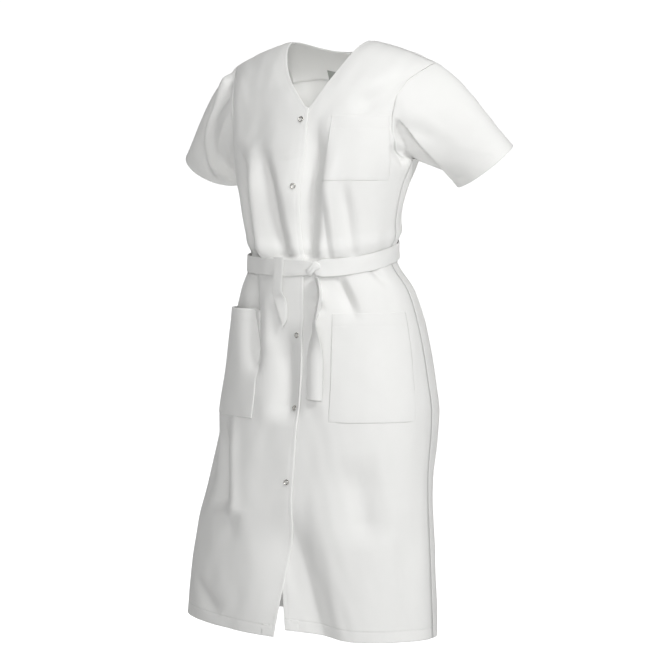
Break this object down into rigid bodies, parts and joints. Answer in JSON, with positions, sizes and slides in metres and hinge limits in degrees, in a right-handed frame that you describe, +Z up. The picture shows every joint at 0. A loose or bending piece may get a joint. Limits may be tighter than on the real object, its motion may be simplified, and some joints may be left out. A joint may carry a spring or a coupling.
{
  "type": "work smock",
  "caption": "Short-sleeved V-neck work smock with a snap front, patch pockets and a knotted tie belt, held filled out as worn.",
  "frame": {"origin": "midway between the neck ends of the two shoulder seams, where the wearer's shoulders carry the smock", "axes": "+Z up from hem to neck, +X to the wearer's left, -Y the way the front faces"},
  "size_m": [0.6525, 0.3143, 1.0412],
  "materials": {
    "white_poly_cotton": "plain woven, soft sheen",
    "snap_steel": "satin"
  },
  "bodies": {
    "root": {"front_right": "white_poly_cotton", "front_left": "white_poly_cotton", "back": "white_poly_cotton", "sleeve_right": "white_poly_cotton", "sleeve_left": "white_poly_cotton", "chest_pocket": "white_poly_cotton", "hip_pocket_right": "white_poly_cotton", "hip_pocket_left": "white_poly_cotton", "neck_facing": "white_poly_cotton", "neck_label": "white_poly_cotton", "belt_band": "white_poly_cotton", "belt_knot": "white_poly_cotton", "belt_tail_short": "white_poly_cotton", "belt_tail_long": "white_poly_cotton", "snap_1": "snap_steel", "snap_2": "snap_steel", "snap_3": "snap_steel", "snap_4": "snap_steel", "snap_5": "snap_steel"}
  },
  "joints": []
}
